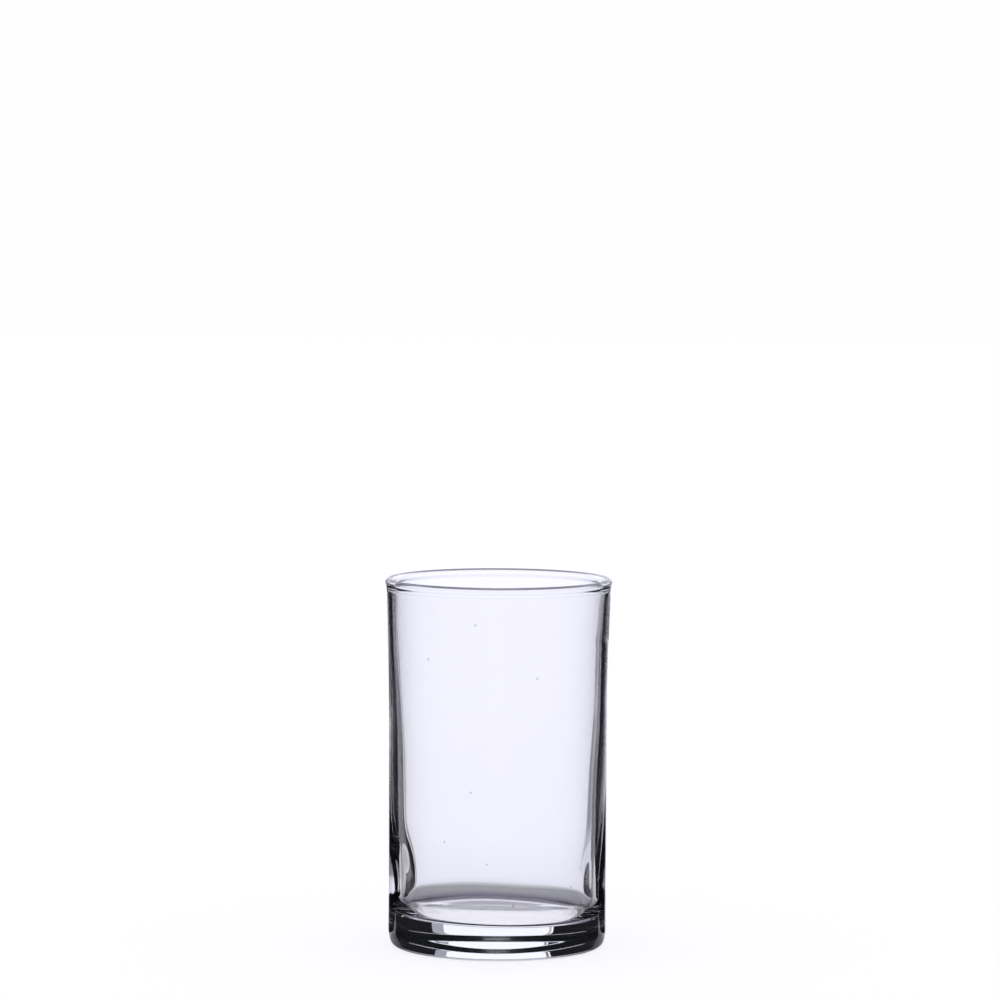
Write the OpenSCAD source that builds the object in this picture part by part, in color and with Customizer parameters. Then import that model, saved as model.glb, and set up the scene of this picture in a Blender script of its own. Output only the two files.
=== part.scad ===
// Juice glass: a small heavy-based tumbler, nearly straight-sided, with a slim bead round its rim.
// It is one piece of clear soda-lime glass. The origin is the middle of the face it rests on, +Z is up.
// Its section is one closed outline of arcs and straight lines that meet without a corner, turned about
// the Z axis.

/* [Outside] */
// Height of the glass from the table to the top of the rim
glass_h = 95; // [80:0.5:130]
// Outer diameter of the wall where the glass is narrowest
waist_d = 56.2; // [50:0.1:70]
// Height above the table where the wall starts to flare towards the mouth
waist_z = 50; // [36:0.5:72]
// How far the wall has moved out at the mouth, under the bead
mouth_flare = 0.9; // [0.2:0.05:4]
// Height above the table where the wall starts to widen towards the foot
foot_z = 15; // [10:0.5:34]
// How far the wall has moved out at the foot, on top of the rounded heel
foot_flare = 0.05; // [0.02:0.01:1]
// Height above the table where the foot is widest and starts to draw in to the heel
widest_z = 4.4; // [3.5:0.1:8]
// Radius of the gentle curve by which the side draws in to the heel
heel_sweep_r = 9.5; // [6:0.5:20]
// Radius of the heel, where the side turns under the base
heel_r = 1.8; // [1:0.1:3]

/* [Rim] */
// How far the bead stands out from the outside of the wall
bead_out = 0.25; // [0.05:0.05:0.6]
// How far the bead stands in from the inside of the wall
bead_in = 0.5; // [0.05:0.05:0.6]
// Radius of the hollow blend between the bead and the outside of the wall
neck_out_r = 4; // [0.4:0.1:8]
// Radius of the hollow blend between the bead and the inside of the wall
neck_in_r = 4; // [0.4:0.1:10]

/* [Inside] */
// Thickness of the wall at the mouth, just under the bead
mouth_wall = 1.5; // [1:0.05:3]
// Thickness of the wall at the cavity floor, had the wall no rounded corner there
low_wall = 3; // [2:0.1:6]
// Height above the cavity floor where the wall starts to curve in towards it
corner_rise = 5.4; // [3:0.1:10]
// Radius of the gentle curve by which the wall draws in to the corner
corner_sweep_r = 12; // [8:0.5:30]
// Radius of the corner itself, where the curve turns into the cavity floor
corner_r = 2.2; // [0.6:0.1:3]
// Thickness of the glass from the table to the cavity floor
base_t = 8.2; // [5:0.1:14]

/* [Underside] */
// Width of the flat ring that the glass rests on
rest_w = 4.5; // [1:0.1:6]
// Depth of the shallow hollow inside the resting ring
hollow_h = 0.6; // [0.2:0.1:2]

/* [Hidden] */

// Clear glass, with the faint cool grey that its thick base shows
glass_tint = [0.84, 0.87, 0.91, 0.45];

// Straight steps in a full turn about the axis, and in each round stretch of the outline
turn_steps = 180;
flare_steps = 8;
round_steps = 10;
bead_steps = 12;

// Points along an arc about a centre, from one angle to another
function arc(at, r, from, to, steps) =
    [for (i = [0:steps]) let (a = from + (to - from) * i / steps) at + r * [cos(a), sin(a)]];

// Angle from one point to another, from 0 up to 360
function bearing(from, to) =
    let (a = atan2(to.y - from.y, to.x - from.x)) a < 0 ? a + 360 : a;

// Radius of the arc that leaves a straight line and is step away from it after rise
function flare_radius(rise, step) = (rise * rise + step * step) / (2 * step);

// The lower one of the two points that lie p_r from p and q_r from q
function below_both(p, p_r, q, q_r) =
    let (
        gap = norm(q - p),
        u = (q - p) / gap,
        along = (gap * gap + p_r * p_r - q_r * q_r) / (2 * gap),
        across = sqrt(p_r * p_r - along * along)
    )
    p + along * u + across * [u.y, -u.x];

// The lower one of the two points that lie q_r from q, on a line through p that runs along u
function low_on_line(p, u, q, q_r) =
    let (along = (q - p) * u, near = norm(p + along * u - q))
    p + (along - sqrt(q_r * q_r - near * near)) * u;

// The middle of an arc of radius r that touches a level floor and, from within, a wider arc
function above_floor(wide_at, wide_r, r, floor_z) =
    let (less = wide_r - r, drop = wide_at.y - floor_z - r)
    [wide_at.x + sqrt(less * less - drop * drop), floor_z + r];

// Outside wall: the centre of the mouth flare lies outside the glass, level with the waist
waist_r = waist_d / 2;
mouth_r = waist_r + mouth_flare;
bead_r = (mouth_wall + bead_out + bead_in) / 2;
bead_at = [mouth_r + bead_out - bead_r, glass_h - bead_r];
out_flare_r = flare_radius(bead_at.y - waist_z, mouth_flare);
out_flare_at = [waist_r + out_flare_r, waist_z];

// Foot: the heel touches the table, the sweep draws the side in to it, and the foot flare runs from the
// sweep to the straight wall
heel_sweep_at = [waist_r + foot_flare - heel_sweep_r, widest_z];
heel_at = above_floor(heel_sweep_at, heel_sweep_r, heel_r, 0);
foot_rise = foot_z - widest_z;
sweep_less = heel_sweep_r - foot_flare;
foot_flare_r = (foot_rise * foot_rise + sweep_less * sweep_less - heel_sweep_r * heel_sweep_r)
    / (2 * foot_flare);
foot_flare_at = [waist_r + foot_flare_r, foot_z];

// Cavity: a straight wall that leans out to the mouth, so that the plunger draws, and below it a corner
// that starts as a gentle sweep and ends tight, as the glass sags towards the floor
bore_low = [waist_r - low_wall, base_t];
bore_high = [mouth_r - mouth_wall, bead_at.y];
lean = atan2(bore_high.x - bore_low.x, bore_high.y - bore_low.y);
bore_up = [sin(lean), cos(lean)];
bore_in = [-cos(lean), sin(lean)];
corner_sweep_at = bore_low + corner_rise / cos(lean) * bore_up + corner_sweep_r * bore_in;
corner_at = above_floor(corner_sweep_at, corner_sweep_r, corner_r, base_t);

// Blends under the bead, which touch the bead and the wall on each side
neck_out_at = below_both(bead_at, bead_r + neck_out_r, out_flare_at, out_flare_r - neck_out_r);
neck_in_at = low_on_line(bore_low + neck_in_r * bore_in, bore_up, bead_at, bead_r + neck_in_r);

// Hollow under the base: a shallow dome inside the resting ring
hollow_r = heel_at.x - rest_w;
dome_r = flare_radius(hollow_r, hollow_h);
dome_at = [0, hollow_h - dome_r];

under_outline = arc(dome_at, dome_r, 90, bearing(dome_at, [hollow_r, 0]), flare_steps);
heel_turn = bearing(heel_sweep_at, heel_at) - 360;
heel_outline = arc(heel_at, heel_r, -90, heel_turn, round_steps);
heel_sweep_outline = arc(heel_sweep_at, heel_sweep_r, heel_turn, bearing(heel_sweep_at, foot_flare_at),
    flare_steps);
foot_outline = arc(foot_flare_at, foot_flare_r, bearing(foot_flare_at, heel_sweep_at), 180, flare_steps);
wall_outline = arc(out_flare_at, out_flare_r, 180, bearing(out_flare_at, neck_out_at), flare_steps);
neck_out_outline = arc(neck_out_at, neck_out_r, bearing(out_flare_at, neck_out_at),
    bearing(neck_out_at, bead_at), round_steps);
bead_out_outline = arc(bead_at, bead_r, bearing(bead_at, neck_out_at) - 360, 90, bead_steps);
bead_in_outline = arc(bead_at, bead_r, 90, bearing(bead_at, neck_in_at), bead_steps);
neck_in_outline = arc(neck_in_at, neck_in_r, bearing(neck_in_at, bead_at), -lean, round_steps);
corner_turn = bearing(corner_sweep_at, corner_at) - 360;
corner_sweep_outline = arc(corner_sweep_at, corner_sweep_r, -lean, corner_turn, flare_steps);
corner_outline = arc(corner_at, corner_r, corner_turn, -90, round_steps);

// All points of a stretch but its first, which the stretch before it already has
function rest_of(points) = [for (i = [1:len(points) - 1]) points[i]];

module tumbler() {
    color(glass_tint) rotate_extrude($fn = turn_steps)
        polygon(concat(
            under_outline,
            heel_outline,
            rest_of(heel_sweep_outline),
            rest_of(foot_outline),
            wall_outline,
            rest_of(neck_out_outline),
            rest_of(bead_out_outline),
            rest_of(bead_in_outline),
            rest_of(neck_in_outline),
            corner_sweep_outline,
            rest_of(corner_outline),
            [[0, base_t]]
        ));
}

tumbler();
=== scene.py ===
"""Juice glass: one clear heavy-based tumbler on a pale table, with a bright window behind it."""
import math

import bpy
from mathutils import Matrix, Vector


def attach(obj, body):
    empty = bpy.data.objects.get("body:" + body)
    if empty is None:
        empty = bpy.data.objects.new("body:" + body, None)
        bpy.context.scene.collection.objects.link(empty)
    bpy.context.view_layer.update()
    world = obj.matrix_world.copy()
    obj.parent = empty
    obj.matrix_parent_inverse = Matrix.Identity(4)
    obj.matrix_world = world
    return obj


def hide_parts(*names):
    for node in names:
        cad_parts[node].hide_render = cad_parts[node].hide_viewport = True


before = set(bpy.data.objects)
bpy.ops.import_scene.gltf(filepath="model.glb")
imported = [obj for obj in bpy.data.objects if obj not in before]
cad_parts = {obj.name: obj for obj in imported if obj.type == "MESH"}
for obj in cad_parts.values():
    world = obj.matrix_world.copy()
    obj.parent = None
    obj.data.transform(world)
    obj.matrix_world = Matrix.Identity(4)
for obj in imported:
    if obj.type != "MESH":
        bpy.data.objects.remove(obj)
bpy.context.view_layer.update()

# Tumbler. One piece of clear soda-lime glass, pressed by a plunger in a turned mould, then flame-polished
# at the rim, where the wall draws up into a slim bead. The outside is true to the mould. The inside, which
# cools last, sits a little off centre and sags into thicker patches low in the wall.
mm = 0.001
GLASS_H = 95.0
WAIST_R = 28.1
WAIST_Z = 50.0
MOUTH_FLARE = 0.9
FOOT_Z = 15.0
FOOT_FLARE = 0.05
WIDEST_Z = 4.4
HEEL_SWEEP_R = 9.5
HEEL_R = 1.8
BEAD_OUT = 0.25
BEAD_IN = 0.5
NECK_OUT_R = 4.0
NECK_IN_R = 4.0
MOUTH_WALL = 1.5
LOW_WALL = 3.0
CORNER_RISE = 5.4
CORNER_SWEEP_R = 12.0
CORNER_R = 2.2
BASE_T = 8.2
REST_W = 4.5
HOLLOW_H = 0.6


def arc(at, radius, start, end, steps):
    """Points along an arc, its angles in degrees."""
    points = []
    for i in range(steps + 1):
        a = math.radians(start + (end - start) * i / steps)
        points.append(at + radius * Vector((math.cos(a), math.sin(a))))
    return points


def line(start, end, steps):
    """Evenly spaced points from one place to another."""
    return [start.lerp(end, i / steps) for i in range(steps + 1)]


def bearing(start, end):
    """Angle from one point to another, from 0 up to 360 degrees."""
    step = end - start
    return math.degrees(math.atan2(step.y, step.x)) % 360.0


def flare_radius(rise, step):
    """Radius of the arc that leaves a straight line and is step away from it after rise."""
    return (rise * rise + step * step) / (2.0 * step)


def below_both(p, p_r, q, q_r):
    """The lower of the two points that lie p_r from p and q_r from q."""
    gap = (q - p).length
    u = (q - p) / gap
    along = (gap * gap + p_r * p_r - q_r * q_r) / (2.0 * gap)
    across = math.sqrt(p_r * p_r - along * along)
    return p + along * u + across * Vector((u.y, -u.x))


def low_on_line(p, u, q, q_r):
    """The lower of the two points that lie q_r from q, on a line through p that runs along u."""
    along = (q - p).dot(u)
    near = (p + along * u - q).length
    return p + (along - math.sqrt(q_r * q_r - near * near)) * u


def above_floor(wide_at, wide_r, r, floor):
    """The middle of an arc that touches a level floor and, from within, a wider arc."""
    less = wide_r - r
    drop = wide_at.y - floor - r
    return Vector((wide_at.x + math.sqrt(less * less - drop * drop), floor + r))


mouth_r = WAIST_R + MOUTH_FLARE
bead_r = (MOUTH_WALL + BEAD_OUT + BEAD_IN) / 2.0
bead_at = Vector((mouth_r + BEAD_OUT - bead_r, GLASS_H - bead_r))
out_flare_r = flare_radius(bead_at.y - WAIST_Z, MOUTH_FLARE)
out_flare_at = Vector((WAIST_R + out_flare_r, WAIST_Z))
sweep_at = Vector((WAIST_R + FOOT_FLARE - HEEL_SWEEP_R, WIDEST_Z))
heel_at = above_floor(sweep_at, HEEL_SWEEP_R, HEEL_R, 0.0)
heel_turn = bearing(sweep_at, heel_at) - 360.0
foot_rise = FOOT_Z - WIDEST_Z
sweep_less = HEEL_SWEEP_R - FOOT_FLARE
foot_flare_r = (foot_rise ** 2 + sweep_less ** 2 - HEEL_SWEEP_R ** 2) / (2.0 * FOOT_FLARE)
foot_flare_at = Vector((WAIST_R + foot_flare_r, FOOT_Z))
bore_low = Vector((WAIST_R - LOW_WALL, BASE_T))
bore_high = Vector((mouth_r - MOUTH_WALL, bead_at.y))
bore_up = (bore_high - bore_low).normalized()
bore_in = Vector((-bore_up.y, bore_up.x))
lean = math.degrees(math.asin(bore_up.x))
corner_sweep_at = bore_low + CORNER_RISE / bore_up.y * bore_up + CORNER_SWEEP_R * bore_in
corner_at = above_floor(corner_sweep_at, CORNER_SWEEP_R, CORNER_R, BASE_T)
corner_turn = bearing(corner_sweep_at, corner_at) - 360.0
neck_out_at = below_both(bead_at, bead_r + NECK_OUT_R, out_flare_at, out_flare_r - NECK_OUT_R)
neck_in_at = low_on_line(bore_low + NECK_IN_R * bore_in, bore_up, bead_at, bead_r + NECK_IN_R)
hollow_r = heel_at.x - REST_W
dome_r = flare_radius(hollow_r, HOLLOW_H)
dome_at = Vector((0.0, HOLLOW_H - dome_r))

# Steps along each stretch of the outline
DOME_STEPS = 30
HEEL_STEPS = 24
SWEEP_STEPS = 16
WALL_STEPS = 40
NECK_STEPS = 10
BEAD_OUT_STEPS = 24
BEAD_IN_STEPS = 20
BORE_STEPS = 100
CORNER_STEPS = 20
FLOOR_STEPS = 30

wall_turn = bearing(out_flare_at, neck_out_at)
outside = [
    arc(dome_at, dome_r, 90.0, bearing(dome_at, Vector((hollow_r, 0.0))), DOME_STEPS),
    arc(heel_at, HEEL_R, -90.0, heel_turn, HEEL_STEPS),
    arc(sweep_at, HEEL_SWEEP_R, heel_turn, bearing(sweep_at, foot_flare_at), SWEEP_STEPS),
    arc(foot_flare_at, foot_flare_r, bearing(foot_flare_at, sweep_at), 180.0, SWEEP_STEPS),
    arc(out_flare_at, out_flare_r, 180.0, wall_turn, WALL_STEPS),
    arc(neck_out_at, NECK_OUT_R, wall_turn, bearing(neck_out_at, bead_at), NECK_STEPS),
    arc(bead_at, bead_r, bearing(bead_at, neck_out_at) - 360.0, 90.0, BEAD_OUT_STEPS),
]
bore_top = neck_in_at - NECK_IN_R * bore_in
bore_foot = corner_sweep_at - CORNER_SWEEP_R * bore_in
inside = [
    arc(bead_at, bead_r, 90.0, bearing(bead_at, neck_in_at), BEAD_IN_STEPS),
    arc(neck_in_at, NECK_IN_R, bearing(neck_in_at, bead_at), -lean, NECK_STEPS),
    line(bore_top, bore_foot, BORE_STEPS),
    arc(corner_sweep_at, CORNER_SWEEP_R, -lean, corner_turn, SWEEP_STEPS),
    arc(corner_at, CORNER_R, corner_turn, -90.0, CORNER_STEPS),
    line(Vector((corner_at.x, BASE_T)), Vector((0.0, BASE_T)), FLOOR_STEPS),
]
SAME_POINT = 1e-4


def joined(stretches):
    """One list of points without the points that two stretches share."""
    points = []
    for stretch in stretches:
        for point in stretch:
            if not points or (point - points[-1]).length > SAME_POINT:
                points.append(point)
    return points


# The thicker patches: how thick, where round the glass in degrees, how wide, and how high up
PATCHES = [
    (1.3, 174.0, 18.0, 15.5),
    (0.6, 6.0, 16.0, 15.0),
]
PATCH_UP = 9.0
PATCH_DOWN = 6.0
OFF_CENTRE = -0.1
# The floor leans by some degrees, and the lean is gone at a height above the floor
FLOOR_LEAN = 1.2
LEAN_GONE = 40.0
# The inside is true at the rim and settles below it
TRUE_ABOVE = 91.0
SETTLE_OVER = 12.0
# The swelling halfway up and the waves of the wall: how deep, times round the glass, how much of a turn
# each millimetre of height adds, and the turn to start from, both in radians
WAVES = [
    (0.3, 0, 0.035, -0.7),
    (0.03, 2, 0.05, 0.4),
    (0.02, 3, -0.07, 2.1),
    (0.012, 5, 0.11, 4.0),
    (0.006, 8, 0.2, 1.0),
]


def settled(point, turn):
    """A point of the inside, moved by how the glass cooled."""
    share = min(1.0, max(0.0, (TRUE_ABOVE - point.y) / SETTLE_OVER))
    wall = min(1.0, point.x / corner_at.x) ** 2
    inward = 0.0
    for thick, at, wide, high in PATCHES:
        aside = (math.degrees(turn) - at + 180.0) % 360.0 - 180.0
        rise = point.y - high
        reach = PATCH_UP if rise > 0.0 else PATCH_DOWN
        inward += thick * math.exp(-(aside / wide) ** 2 - (rise / reach) ** 2)
    for deep, times, climb, start in WAVES:
        inward += deep * math.sin(times * turn + climb * point.y + start)
    radius = point.x - inward * wall * share
    across = radius * math.cos(turn)
    floor_share = max(0.0, 1.0 - (point.y - BASE_T) / LEAN_GONE)
    drop = math.tan(math.radians(FLOOR_LEAN)) * across * floor_share * share
    return Vector((across + OFF_CENTRE * share, radius * math.sin(turn), point.y - drop))


outside_points = joined(outside)
inside_points = joined(inside)[1:]
TURN_STEPS = 360

vertices = [Vector((0.0, 0.0, outside_points[0].y))]
for point in outside_points[1:]:
    for k in range(TURN_STEPS):
        turn = math.tau * k / TURN_STEPS
        vertices.append(Vector((point.x * math.cos(turn), point.x * math.sin(turn), point.y)))
for point in inside_points[:-1]:
    for k in range(TURN_STEPS):
        vertices.append(settled(point, math.tau * k / TURN_STEPS))
vertices.append(settled(inside_points[-1], 0.0))
rings = len(outside_points) + len(inside_points) - 2
last = len(vertices) - 1
top = 1 + (rings - 1) * TURN_STEPS
faces = []
for k in range(TURN_STEPS):
    after = (k + 1) % TURN_STEPS
    faces.append((0, 1 + after, 1 + k))
    for ring in range(rings - 1):
        low = 1 + ring * TURN_STEPS
        high = low + TURN_STEPS
        faces.append((low + k, low + after, high + after, high + k))
    faces.append((top + k, top + after, last))

# The glass is a hair smaller than the solid, so that it stays inside it
BOX_GAP = 0.02
box_share = 1.0 - BOX_GAP / (mouth_r + BEAD_OUT)
glass_mesh = bpy.data.meshes.new("tumbler_glass")
glass_mesh.from_pydata([tuple(v * mm * box_share) for v in vertices], [], faces)
glass_mesh.polygons.foreach_set("use_smooth", [True] * len(faces))
glass_mesh.update()
glass = bpy.data.objects.new("tumbler_glass", glass_mesh)
bpy.context.scene.collection.objects.link(glass)


class Wire:
    """A socket of a node tree, so that sums of shader values are written as Python sums."""

    def __init__(self, tree, socket=None):
        self.tree = tree
        self.socket = socket

    def node(self, kind, settings, sockets, out=0):
        """A new node: its settings are set first, then its sockets' values or links."""
        made = self.tree.nodes.new(kind)
        for name, value in settings.items():
            if name == "stops":
                self.set_stops(made.color_ramp, value)
            else:
                setattr(made, name, value)
        for name, value in sockets.items():
            if isinstance(value, Wire):
                self.tree.links.new(value.socket, made.inputs[name])
            else:
                made.inputs[name].default_value = value
        return Wire(self.tree, made.outputs[out] if len(made.outputs) else None)

    def set_stops(self, ramp, stops):
        """Puts a ramp's colours at their places along it."""
        ramp.elements[0].position, ramp.elements[0].color = stops[0]
        ramp.elements[1].position, ramp.elements[1].color = stops[-1]
        for place, colour in stops[1:-1]:
            ramp.elements.new(place).color = colour

    def sum(self, operation, first, second):
        return self.node("ShaderNodeMath", {"operation": operation}, {0: first, 1: second})

    def __sub__(self, other):
        return self.sum("SUBTRACT", self, other)

    def __rsub__(self, other):
        return self.sum("SUBTRACT", other, self)

    def __mul__(self, other):
        return self.sum("MULTIPLY", self, other)

    __rmul__ = __mul__

    def __truediv__(self, other):
        return self.sum("DIVIDE", self, other)

    def __rtruediv__(self, other):
        return self.sum("DIVIDE", other, self)

    def __lt__(self, other):
        return self.sum("LESS_THAN", self, other)

    def __gt__(self, other):
        return self.sum("GREATER_THAN", self, other)

    def blend(self, low, high):
        """A colour between two colours, by this value from 0 to 1."""
        factor, first, second, result = 0, 6, 7, 2
        sockets = {factor: self, first: low, second: high}
        return self.node("ShaderNodeMix", {"data_type": "RGBA"}, sockets, result)


def new_tree(name):
    """A material without nodes, and a wire to build its nodes with."""
    material = bpy.data.materials.new(name)
    material.use_nodes = True
    material.node_tree.nodes.clear()
    return material, Wire(material.node_tree)


# Seeds are specks of gas in the glass: cells per metre, their size, and how few of them show. Peel is
# the faint unevenness of the skin, a few thousandths of a millimetre deep.
SEED_CELLS = 160.0
SEED_SIZE = 0.05
SEED_FIELDS = 90.0
SEED_FEW = 0.62
SEED_GREY = (0.55, 0.56, 0.6, 1.0)
SEED_FREE = (1.0, 1.0, 1.0, 1.0)
PEEL_CELLS = 220.0
PEEL_DEEP = 0.000003
GLASS_INDEX = 1.52
DEEP_TINT = (0.72, 0.84, 0.86, 1.0)
TINT_DENSITY = 3.0

clear_glass, sheet = new_tree("clear_glass")
place = sheet.node("ShaderNodeTexCoord", {}, {}, "Object")
cells = {"Vector": place, "Scale": SEED_CELLS}
seeds = sheet.node("ShaderNodeTexVoronoi", {"feature": "F1"}, cells, "Distance")
fields = {"Vector": place, "Scale": SEED_FIELDS, "Detail": 0.0}
rare = sheet.node("ShaderNodeTexNoise", {}, fields, "Fac")
seed_mask = (seeds < SEED_SIZE) * (rare > SEED_FEW)
seed_colour = seed_mask.blend(SEED_FREE, SEED_GREY)
skin = {"Vector": place, "Scale": PEEL_CELLS, "Detail": 1.0}
peel = sheet.node("ShaderNodeTexNoise", {}, skin, "Fac")
peel_bump = sheet.node("ShaderNodeBump", {}, {"Height": peel, "Strength": 1.0, "Distance": PEEL_DEEP})
surface = sheet.node("ShaderNodeBsdfPrincipled", {}, {
    "Base Color": seed_colour,
    "Roughness": 0.0,
    "IOR": GLASS_INDEX,
    "Transmission Weight": 1.0,
    "Normal": peel_bump,
})
absorb = sheet.node("ShaderNodeVolumeAbsorption", {}, {"Color": DEEP_TINT, "Density": TINT_DENSITY})
sheet.node("ShaderNodeOutputMaterial", {}, {"Surface": surface, "Volume": absorb})
glass_mesh.materials.append(clear_glass)

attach(glass, "root")
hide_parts("tumbler")

# Table. A wide matt white board without an edge in sight, which keeps the soft shadow of the glass. Glass
# doesn't see the board itself: it shows only a glowing white patch right under the base, painted light
# that stands in for the lit table there, so that the rest of the base stays as clear as it is against a
# window.
scene = bpy.context.scene
TABLE_HALF = 4000.0
TABLE_DROP = 0.02
BOARD_WHITE = (0.3, 0.3, 0.3, 1.0)
BOARD_GLOW = (1.02, 1.0, 1.06, 1.0)
BOARD_GLOW_SHARE = 0.71
sides = [(-1, -1), (1, -1), (1, 1), (-1, 1)]
corners = [Vector((x * TABLE_HALF, y * TABLE_HALF, -TABLE_DROP)) * mm for x, y in sides]
table_mesh = bpy.data.meshes.new("table")
table_mesh.from_pydata(corners, [], [(0, 1, 2, 3)])
table = bpy.data.objects.new("table", table_mesh)
scene.collection.objects.link(table)
table.visible_transmission = False
table.visible_glossy = False

white_board, board = new_tree("white_board")
matt = board.node("ShaderNodeBsdfDiffuse", {}, {"Color": BOARD_WHITE})
shine = board.node("ShaderNodeEmission", {}, {"Color": BOARD_GLOW, "Strength": BOARD_GLOW_SHARE})
both = board.node("ShaderNodeAddShader", {}, {0: matt, 1: shine})
board.node("ShaderNodeOutputMaterial", {}, {"Surface": both})
table_mesh.materials.append(white_board)


def glowing_sheet(name, points, paint):
    """A flat glowing sheet through some points in millimetres, that only glass and gloss show."""
    mesh = bpy.data.meshes.new(name)
    mesh.from_pydata([Vector(point) * mm for point in points], [], [tuple(range(len(points)))])
    made = bpy.data.objects.new(name, mesh)
    scene.collection.objects.link(made)
    glow, paper = new_tree(name)
    light = paper.node("ShaderNodeEmission", {}, {"Color": paint(paper)})
    paper.node("ShaderNodeOutputMaterial", {}, {"Surface": light})
    glow.cycles.emission_sampling = "NONE"
    mesh.materials.append(glow)
    made.visible_camera = False
    made.visible_diffuse = False
    made.visible_shadow = False
    return made


def plain_paint(colour):
    """One colour all over a sheet."""
    return lambda paper: colour


# The patch under the base glows evenly white: painted light standing in for the lit table that glass shows
# there.
UNDER_R = 22.0
UNDER_DROP = 0.05
UNDER_STEP = 4
UNDER_PAINTED_LIGHT = (0.90, 0.89, 0.98, 1.0)
turns = [math.radians(angle) for angle in range(0, 360, UNDER_STEP)]
edge = [(UNDER_R * math.cos(turn), UNDER_R * math.sin(turn), -UNDER_DROP) for turn in turns]
table_under = glowing_sheet("table_under", edge, plain_paint(UNDER_PAINTED_LIGHT))

# Camera. It stands about 1.2 m in front of the glass and a little above its rim, with a long lens, as
# the outline of the glass and the ellipses of its rim and floor give it.
PICTURE_SIDE = 1000
CAMERA_BACK = 1180.0
PIXELS_PER_MM = 3.907
RIM_ELEVATION = 5.2
RIM_PIXELS_BELOW_CENTRE = 77.6
CAMERA_ASIDE = 0.23
CAMERA_ROLL = 0.28
SENSOR_WIDTH = 36.0
SIGHT_END = 100.0
focal_pixels = PIXELS_PER_MM * CAMERA_BACK
camera_z = GLASS_H + CAMERA_BACK * math.tan(math.radians(RIM_ELEVATION))
camera_pitch = RIM_ELEVATION - math.degrees(math.atan(RIM_PIXELS_BELOW_CENTRE / focal_pixels))

camera_data = bpy.data.cameras.new("camera")
camera_data.sensor_width = SENSOR_WIDTH
camera_data.lens = focal_pixels / PICTURE_SIDE * camera_data.sensor_width
camera_data.clip_end = SIGHT_END
camera = bpy.data.objects.new("camera", camera_data)
scene.collection.objects.link(camera)
camera_place = Matrix.Translation(Vector((CAMERA_ASIDE, -CAMERA_BACK, camera_z)) * mm)
tipped = Matrix.Rotation(math.radians(90.0 - camera_pitch), 4, "X")
camera.matrix_world = camera_place @ tipped @ Matrix.Rotation(math.radians(CAMERA_ROLL), 4, "Z")
scene.camera = camera

# Window arm. Glass is lit as it is photographed: its surroundings stand close behind it, on an arm that
# turns about the glass to the far side from the camera, as if the glass stood on a turntable.
arm = bpy.data.objects.new("window_arm", None)
scene.collection.objects.link(arm)
arm.location = (0.0, 0.0, GLASS_H / 2.0 * mm)
aim = arm.constraints.new("TRACK_TO")
aim.target = camera
aim.track_axis = "TRACK_NEGATIVE_Y"
aim.up_axis = "UP_Z"

# Window. A bright pane of white cloth with daylight in it, a little dimmer at its sill. A grey block
# stands in front of its right edge, and a brownish upright bar in front of its left edge. Block and bar
# glow though they are no lamps: the lighter and darker bands up each one are painted light and shade.
WINDOW_BACK = 280.0
WINDOW_LEFT = -95.0
WINDOW_RIGHT = 117.0
WINDOW_LOW = -64.0
WINDOW_HIGH = 118.0
SILL_TOP = 20.0
BLOCK_LEFT = 88.0
BLOCK_LOW = -45.0
BLOCK_DARK_LOW = -40.0
BLOCK_HIGH = 100.0
BAR_LEFT = -91.0
BAR_RIGHT = -85.0
CARD_GAP = 0.5


def card(name, left, right, low, high, paint, nearer=0.0):
    """An upright glowing card behind the glass."""
    back = WINDOW_BACK - nearer
    points = [(left, back, low), (right, back, low), (right, back, high), (left, back, high)]
    made = glowing_sheet(name, points, paint)
    made.parent = arm


def graded_paint(start, end, stops):
    """Colours up a card, each at a height in millimetres."""
    def paint(paper):
        place = paper.node("ShaderNodeTexCoord", {}, {}, "Object")
        height = paper.node("ShaderNodeSeparateXYZ", {}, {"Vector": place}, "Z")
        share = (height / mm - start) / (end - start)
        shares = [((at - start) / (end - start), (*colour, 1.0)) for at, colour in stops]
        return paper.node("ShaderNodeValToRGB", {"stops": shares}, {"Fac": share}, "Color")
    return paint


window_paint = graded_paint(WINDOW_LOW, SILL_TOP, [
    (WINDOW_LOW, (0.86, 0.85, 0.99)),
    (-52.0, (0.92, 0.91, 1.05)),
    (-42.0, (0.98, 0.97, 1.12)),
    (-30.0, (1.05, 1.04, 1.19)),
    (10.0, (1.081, 1.075, 1.219)),
])
# The grey block's glow is painted light and shade: lighter at its foot, with a lighter band across it
# above.
block_painted_light = graded_paint(BLOCK_DARK_LOW, BLOCK_HIGH, [
    (BLOCK_DARK_LOW, (0.66, 0.66, 0.78)),
    (-32.0, (0.40, 0.41, 0.48)),
    (2.0, (0.40, 0.41, 0.48)),
    (6.0, (0.55, 0.56, 0.66)),
    (24.0, (0.38, 0.38, 0.46)),
    (BLOCK_HIGH, (0.38, 0.38, 0.46)),
])
# The bar's glow is painted light and shade: brownish at its foot, pale in the middle and dark above.
bar_painted_light = graded_paint(WINDOW_LOW, BLOCK_HIGH, [
    (-44.0, (0.40, 0.34, 0.30)),
    (-34.0, (0.60, 0.57, 0.62)),
    (12.0, (0.60, 0.57, 0.62)),
    (24.0, (0.25, 0.21, 0.25)),
    (BLOCK_HIGH, (0.25, 0.21, 0.25)),
])
card("window", WINDOW_LEFT, WINDOW_RIGHT, WINDOW_LOW, WINDOW_HIGH, window_paint)
card("window_block", BLOCK_LEFT, WINDOW_RIGHT, BLOCK_LOW, BLOCK_HIGH, block_painted_light, CARD_GAP)
card("window_bar", BAR_LEFT, BAR_RIGHT, WINDOW_LOW, BLOCK_HIGH, bar_painted_light, CARD_GAP)
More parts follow.
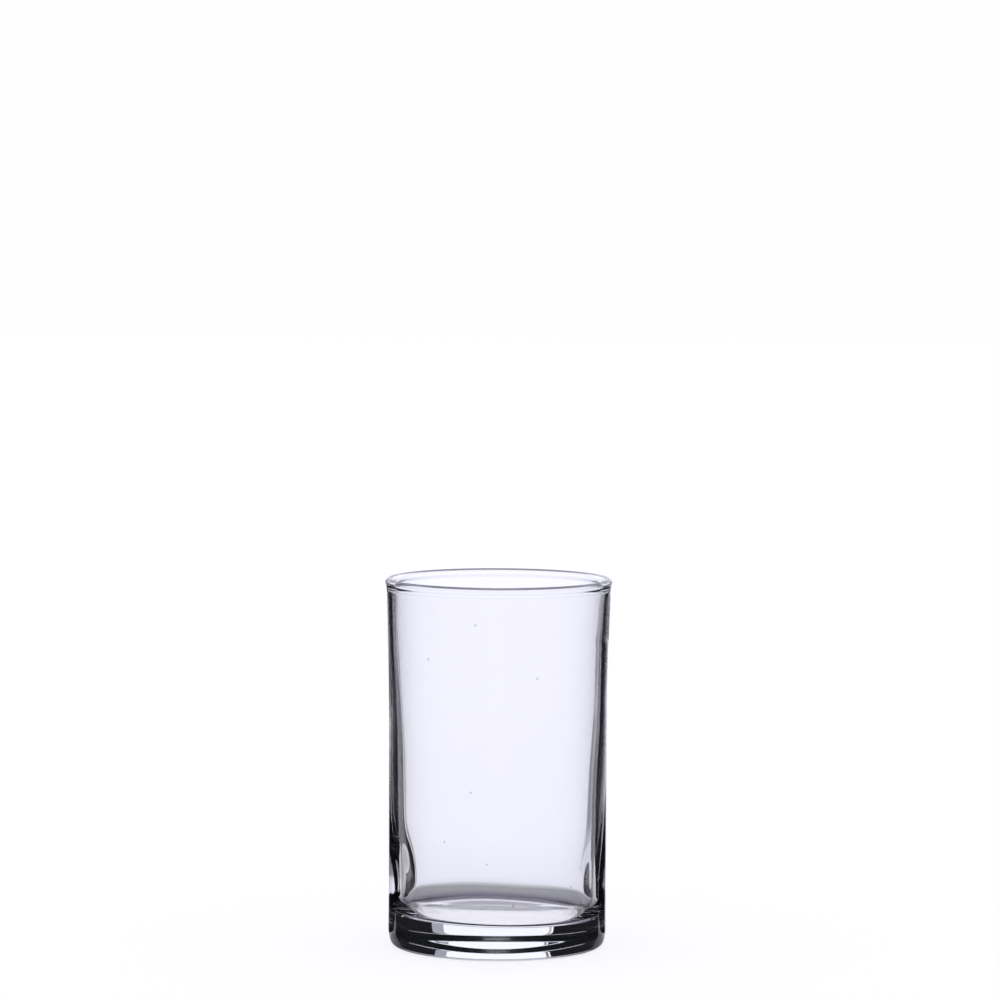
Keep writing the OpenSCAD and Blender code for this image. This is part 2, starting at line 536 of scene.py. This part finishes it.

# Far table. The pale table in front of the window is a glowing card, and its darkening away from the
# window is painted shade. The glass shows it as the grey ring round its floor and as the dark lines of its
# rim.
ROOM_SIDE = 300.0
TABLE_LOW = -1500.0
SHADE_LOW = -500.0
painted_table_shade = graded_paint(SHADE_LOW, WINDOW_LOW, [
    (-420.0, (0.14, 0.12, 0.17)),
    (-260.0, (0.18, 0.16, 0.22)),
    (-200.0, (0.23, 0.21, 0.28)),
    (-120.0, (0.32, 0.31, 0.37)),
    (-90.0, (0.38, 0.38, 0.43)),
    (-80.0, (0.37, 0.38, 0.42)),
    (-71.0, (0.58, 0.58, 0.63)),
    (WINDOW_LOW, (0.82, 0.81, 0.92)),
])
card("painted_shade_table_card", -ROOM_SIDE, ROOM_SIDE, TABLE_LOW, WINDOW_LOW, painted_table_shade)

# Wall and ceiling. Both are glowing cards with painted light: the wall over the window fades from white to
# a bluish grey, painted light falling off, and the ceiling brightens again towards the lamps overhead, a
# painted pool of light.
SKY_HIGH = 330.0
CEILING_HIGH = 3000.0
CEILING_BRIGHT = 1500.0
painted_wall_light = graded_paint(WINDOW_HIGH, SKY_HIGH, [
    (WINDOW_HIGH, (1.0, 1.0, 1.13)),
    (240.0, (0.93, 0.95, 1.1)),
    (SKY_HIGH, (0.50, 0.55, 0.70)),
])
painted_ceiling_light = graded_paint(SKY_HIGH, CEILING_BRIGHT, [
    (SKY_HIGH, (0.33, 0.38, 0.50)),
    (640.0, (0.34, 0.39, 0.50)),
    (900.0, (0.80, 0.80, 0.88)),
    (1300.0, (1.15, 1.15, 1.22)),
])
card("sky", -ROOM_SIDE, ROOM_SIDE, WINDOW_HIGH, SKY_HIGH, painted_wall_light)
card("ceiling", -ROOM_SIDE, ROOM_SIDE, SKY_HIGH, CEILING_HIGH, painted_ceiling_light)

# Room. The camera and the matt table see a plain white room. Glass sees a dark one at both sides of the
# window, which gives the dark edges that clear glass has.
DARK_ROOM = (0.012, 0.012, 0.015, 1.0)
WHITE_ROOM = (1.0, 0.995, 1.0, 1.0)
world = bpy.data.worlds.new("room")
scene.world = world
world.use_nodes = True
world.node_tree.nodes.clear()
room = Wire(world.node_tree)
seen = room.node("ShaderNodeLightPath", {}, {}, "Is Camera Ray")
bounced = room.node("ShaderNodeLightPath", {}, {}, "Diffuse Depth")
plain = room.sum("MAXIMUM", seen, bounced)
light = room.node("ShaderNodeBackground", {}, {"Color": plain.blend(DARK_ROOM, WHITE_ROOM)})
room.node("ShaderNodeOutputWorld", {}, {"Surface": light})

# Picture. Colours show as they are written. Light may pass through many faces of glass before it is
# dropped, so that the thick base doesn't go dark.
GLASS_BOUNCES = 32
GLOSS_BOUNCES = 16
scene.view_settings.view_transform = "Standard"
scene.cycles.max_bounces = GLASS_BOUNCES
scene.cycles.transmission_bounces = GLASS_BOUNCES
scene.cycles.glossy_bounces = GLOSS_BOUNCES
